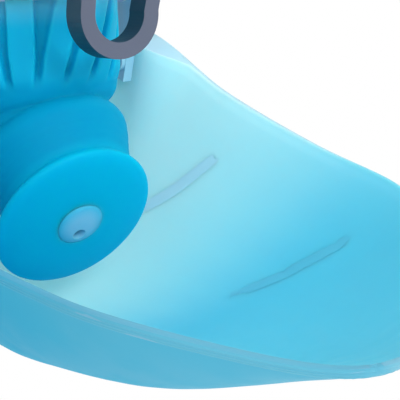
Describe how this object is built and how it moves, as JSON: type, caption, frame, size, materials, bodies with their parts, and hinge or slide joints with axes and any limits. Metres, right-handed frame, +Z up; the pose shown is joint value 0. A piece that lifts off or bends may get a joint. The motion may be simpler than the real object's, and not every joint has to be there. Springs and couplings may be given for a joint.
{
  "type": "dog travel water bottle",
  "caption": "Squeeze bottle with a bent silicone spout, a leaf-shaped silicone bowl that folds down over the bottle, and a carabiner on a band.",
  "frame": {"origin": "centre of the bottle's base, where the bottle stands", "axes": "+Z up along the bottle's axis, +X towards the open bowl's tip, +Y along the bowl's hinge axis"},
  "size_m": [0.23, 0.1336, 0.2583],
  "materials": {
    "bottle_plastic": "translucent squeeze plastic, satin",
    "white_silicone": "matte",
    "collar_plastic": "satin gloss",
    "brass_insert": "machined",
    "blue_silicone": "translucent silicone, satin",
    "nozzle_silicone": "translucent silicone, satin",
    "bowl_silicone": "translucent frosted silicone",
    "ear_plastic": "satin gloss",
    "steel": "bright",
    "grey_plastic": "satin moulded plastic"
  },
  "bodies": {
    "bottle": {"bottle_body": "bottle_plastic", "carry_band": "grey_plastic", "band_screw": "steel"},
    "head": {"neck_gasket": "white_silicone", "screw_collar": "collar_plastic", "insert_left": "brass_insert", "insert_right": "brass_insert", "water_tube": "collar_plastic", "spout_head": "blue_silicone", "nozzle_disc": "nozzle_silicone", "slit_valve": "white_silicone", "valve_retainer": "collar_plastic", "hinge_screw_left": "steel", "hinge_screw_right": "steel", "washer_left": "white_silicone", "washer_right": "white_silicone"},
    "bowl": {"leaf_bowl": "bowl_silicone", "ear_left": "ear_plastic", "ear_right": "ear_plastic", "rivets_left": "steel", "rivets_right": "steel"},
    "carabiner": {"carabiner_frame": "grey_plastic", "gate_pin": "steel", "gate_spring": "steel"},
    "gate": {"carabiner_gate": "grey_plastic"}
  },
  "joints": [
    {"name": "head_lift", "type": "slide", "parent": "bottle", "child": "head", "axis": [0, 0, 1], "range_m": [0, 0.03]},
    {"name": "bowl_fold", "type": "hinge", "parent": "head", "child": "bowl", "pos_m": [0, 0, 0.165], "axis": [0, 1, 0], "range_deg": [0, 104]},
    {"name": "carabiner_swing", "type": "hinge", "parent": "bottle", "child": "carabiner", "pos_m": [0.0405, -0.0093, 0.1275], "axis": [0, 1, 0], "range_deg": [-10, 170]},
    {"name": "carabiner_gate", "type": "hinge", "parent": "carabiner", "child": "gate", "pos_m": [0.04162, -0.0137, 0.15966], "axis": [0.9994, 0, -0.0349], "range_deg": [0, 22], "stiffness_Nm_per_rad": 0.02}
  ]
}
